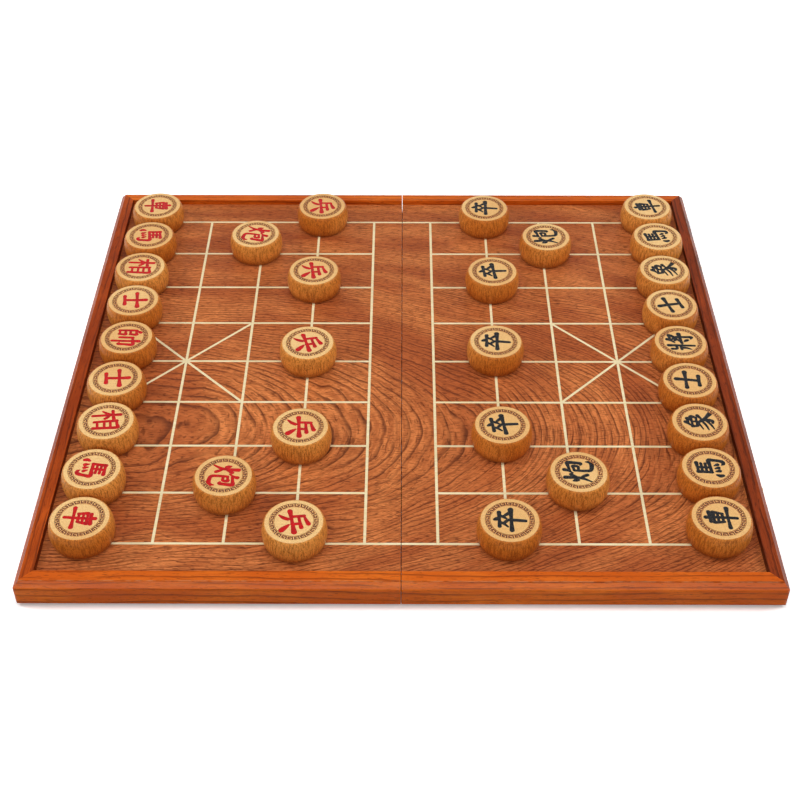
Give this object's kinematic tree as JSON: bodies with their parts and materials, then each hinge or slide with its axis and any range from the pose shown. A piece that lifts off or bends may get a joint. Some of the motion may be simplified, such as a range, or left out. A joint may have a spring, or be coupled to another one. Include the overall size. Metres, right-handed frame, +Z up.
{
  "type": "xiangqi box",
  "caption": "Folding wooden xiangqi board with inlaid grid and hollow halves that shut into a storage box, with turned round game pieces standing at their start places.",
  "frame": {"origin": "middle of the opened board, on the surface that it stands on", "axes": "+X along the board's length from the red side to the black side, +Y towards the back, +Z up"},
  "size_m": [0.5794, 0.524, 0.0396],
  "materials": {
    "panel_wood": "semi-gloss lacquered rosewood with dark streaks",
    "rail_wood": "gloss lacquered red-brown hardwood",
    "inlay_wood": "smooth pale hardwood strip",
    "piece_wood": "satin turned honey-coloured wood",
    "fret_burn": "matt burnt ground of the fretwork ring",
    "red_paint": "gloss paint in the carved signs",
    "black_paint": "gloss paint in the carved signs",
    "brass": "polished, lightly worn",
    "rubber": "matt moulded rubber"
  },
  "bodies": {
    "left_half": {"left_panel": "panel_wood", "left_end_rail": "rail_wood", "left_front_rail": "rail_wood", "left_back_rail": "rail_wood", "left_seam_rail": "rail_wood", "left_line_inlays": "inlay_wood", "left_palace_inlays": "inlay_wood", "left_rubber_feet": "rubber", "left_hinge_leaves": "brass", "left_hinge_screws": "brass", "hinge_pins": "brass", "keeper_studs": "brass"},
    "right_half": {"right_panel": "panel_wood", "right_end_rail": "rail_wood", "right_front_rail": "rail_wood", "right_back_rail": "rail_wood", "right_seam_rail": "rail_wood", "right_line_inlays": "inlay_wood", "right_palace_inlays": "inlay_wood", "right_rubber_feet": "rubber", "right_hinge_leaves": "brass", "right_hinge_screws": "brass", "hook_pivot_screws": "brass"},
    "hook_front": {"hook_front": "brass"},
    "hook_back": {"hook_back": "brass"},
    "red_chariot_1": {"red_chariot_1": "piece_wood"},
    "red_horse_1": {"red_horse_1": "piece_wood"},
    "red_elephant_1": {"red_elephant_1": "piece_wood"},
    "red_advisor_1": {"red_advisor_1": "piece_wood"},
    "red_general": {"red_general": "piece_wood"},
    "red_advisor_2": {"red_advisor_2": "piece_wood"},
    "red_elephant_2": {"red_elephant_2": "piece_wood"},
    "red_horse_2": {"red_horse_2": "piece_wood"},
    "red_chariot_2": {"red_chariot_2": "piece_wood"},
    "red_cannon_1": {"red_cannon_1": "piece_wood"},
    "red_cannon_2": {"red_cannon_2": "piece_wood"},
    "red_soldier_1": {"red_soldier_1": "piece_wood"},
    "red_soldier_2": {"red_soldier_2": "piece_wood"},
    "red_soldier_3": {"red_soldier_3": "piece_wood"},
    "red_soldier_4": {"red_soldier_4": "piece_wood"},
    "red_soldier_5": {"red_soldier_5": "piece_wood"},
    "black_chariot_1": {"black_chariot_1": "piece_wood"},
    "black_horse_1": {"black_horse_1": "piece_wood"},
    "black_elephant_1": {"black_elephant_1": "piece_wood"},
    "black_advisor_1": {"black_advisor_1": "piece_wood"},
    "black_general": {"black_general": "piece_wood"},
    "black_advisor_2": {"black_advisor_2": "piece_wood"},
    "black_elephant_2": {"black_elephant_2": "piece_wood"},
    "black_horse_2": {"black_horse_2": "piece_wood"},
    "black_chariot_2": {"black_chariot_2": "piece_wood"},
    "black_cannon_1": {"black_cannon_1": "piece_wood"},
    "black_cannon_2": {"black_cannon_2": "piece_wood"},
    "black_soldier_1": {"black_soldier_1": "piece_wood"},
    "black_soldier_2": {"black_soldier_2": "piece_wood"},
    "black_soldier_3": {"black_soldier_3": "piece_wood"},
    "black_soldier_4": {"black_soldier_4": "piece_wood"},
    "black_soldier_5": {"black_soldier_5": "piece_wood"}
  },
  "joints": [
    {"name": "board_fold", "type": "hinge", "parent": "left_half", "child": "right_half", "pos_m": [0, 0, 0.0016], "axis": [0, 1, 0], "range_deg": [0, 179.6]},
    {"name": "hook_front_swing", "type": "hinge", "parent": "right_half", "child": "hook_front", "pos_m": [0.2881, -0.15, 0.0101], "axis": [-1, 0, 0], "range_deg": [0, 90]},
    {"name": "hook_back_swing", "type": "hinge", "parent": "right_half", "child": "hook_back", "pos_m": [0.2881, 0.15, 0.0101], "axis": [1, 0, 0], "range_deg": [0, 90]},
    {"name": "red_chariot_1_lift", "type": "slide", "parent": "left_half", "child": "red_chariot_1", "axis": [0, 0, 1], "range_m": [0, 0.08]},
    {"name": "red_horse_1_lift", "type": "slide", "parent": "left_half", "child": "red_horse_1", "axis": [0, 0, 1], "range_m": [0, 0.08]},
    {"name": "red_elephant_1_lift", "type": "slide", "parent": "left_half", "child": "red_elephant_1", "axis": [0, 0, 1], "range_m": [0, 0.08]},
    {"name": "red_advisor_1_lift", "type": "slide", "parent": "left_half", "child": "red_advisor_1", "axis": [0, 0, 1], "range_m": [0, 0.08]},
    {"name": "red_general_lift", "type": "slide", "parent": "left_half", "child": "red_general", "axis": [0, 0, 1], "range_m": [0, 0.08]},
    {"name": "red_advisor_2_lift", "type": "slide", "parent": "left_half", "child": "red_advisor_2", "axis": [0, 0, 1], "range_m": [0, 0.08]},
    {"name": "red_elephant_2_lift", "type": "slide", "parent": "left_half", "child": "red_elephant_2", "axis": [0, 0, 1], "range_m": [0, 0.08]},
    {"name": "red_horse_2_lift", "type": "slide", "parent": "left_half", "child": "red_horse_2", "axis": [0, 0, 1], "range_m": [0, 0.08]},
    {"name": "red_chariot_2_lift", "type": "slide", "parent": "left_half", "child": "red_chariot_2", "axis": [0, 0, 1], "range_m": [0, 0.08]},
    {"name": "red_cannon_1_lift", "type": "slide", "parent": "left_half", "child": "red_cannon_1", "axis": [0, 0, 1], "range_m": [0, 0.08]},
    {"name": "red_cannon_2_lift", "type": "slide", "parent": "left_half", "child": "red_cannon_2", "axis": [0, 0, 1], "range_m": [0, 0.08]},
    {"name": "red_soldier_1_lift", "type": "slide", "parent": "left_half", "child": "red_soldier_1", "axis": [0, 0, 1], "range_m": [0, 0.08]},
    {"name": "red_soldier_2_lift", "type": "slide", "parent": "left_half", "child": "red_soldier_2", "axis": [0, 0, 1], "range_m": [0, 0.08]},
    {"name": "red_soldier_3_lift", "type": "slide", "parent": "left_half", "child": "red_soldier_3", "axis": [0, 0, 1], "range_m": [0, 0.08]},
    {"name": "red_soldier_4_lift", "type": "slide", "parent": "left_half", "child": "red_soldier_4", "axis": [0, 0, 1], "range_m": [0, 0.08]},
    {"name": "red_soldier_5_lift", "type": "slide", "parent": "left_half", "child": "red_soldier_5", "axis": [0, 0, 1], "range_m": [0, 0.08]},
    {"name": "black_chariot_1_lift", "type": "slide", "parent": "right_half", "child": "black_chariot_1", "axis": [0, 0, 1], "range_m": [0, 0.08]},
    {"name": "black_horse_1_lift", "type": "slide", "parent": "right_half", "child": "black_horse_1", "axis": [0, 0, 1], "range_m": [0, 0.08]},
    {"name": "black_elephant_1_lift", "type": "slide", "parent": "right_half", "child": "black_elephant_1", "axis": [0, 0, 1], "range_m": [0, 0.08]},
    {"name": "black_advisor_1_lift", "type": "slide", "parent": "right_half", "child": "black_advisor_1", "axis": [0, 0, 1], "range_m": [0, 0.08]},
    {"name": "black_general_lift", "type": "slide", "parent": "right_half", "child": "black_general", "axis": [0, 0, 1], "range_m": [0, 0.08]},
    {"name": "black_advisor_2_lift", "type": "slide", "parent": "right_half", "child": "black_advisor_2", "axis": [0, 0, 1], "range_m": [0, 0.08]},
    {"name": "black_elephant_2_lift", "type": "slide", "parent": "right_half", "child": "black_elephant_2", "axis": [0, 0, 1], "range_m": [0, 0.08]},
    {"name": "black_horse_2_lift", "type": "slide", "parent": "right_half", "child": "black_horse_2", "axis": [0, 0, 1], "range_m": [0, 0.08]},
    {"name": "black_chariot_2_lift", "type": "slide", "parent": "right_half", "child": "black_chariot_2", "axis": [0, 0, 1], "range_m": [0, 0.08]},
    {"name": "black_cannon_1_lift", "type": "slide", "parent": "right_half", "child": "black_cannon_1", "axis": [0, 0, 1], "range_m": [0, 0.08]},
    {"name": "black_cannon_2_lift", "type": "slide", "parent": "right_half", "child": "black_cannon_2", "axis": [0, 0, 1], "range_m": [0, 0.08]},
    {"name": "black_soldier_1_lift", "type": "slide", "parent": "right_half", "child": "black_soldier_1", "axis": [0, 0, 1], "range_m": [0, 0.08]},
    {"name": "black_soldier_2_lift", "type": "slide", "parent": "right_half", "child": "black_soldier_2", "axis": [0, 0, 1], "range_m": [0, 0.08]},
    {"name": "black_soldier_3_lift", "type": "slide", "parent": "right_half", "child": "black_soldier_3", "axis": [0, 0, 1], "range_m": [0, 0.08]},
    {"name": "black_soldier_4_lift", "type": "slide", "parent": "right_half", "child": "black_soldier_4", "axis": [0, 0, 1], "range_m": [0, 0.08]},
    {"name": "black_soldier_5_lift", "type": "slide", "parent": "right_half", "child": "black_soldier_5", "axis": [0, 0, 1], "range_m": [0, 0.08]}
  ]
}
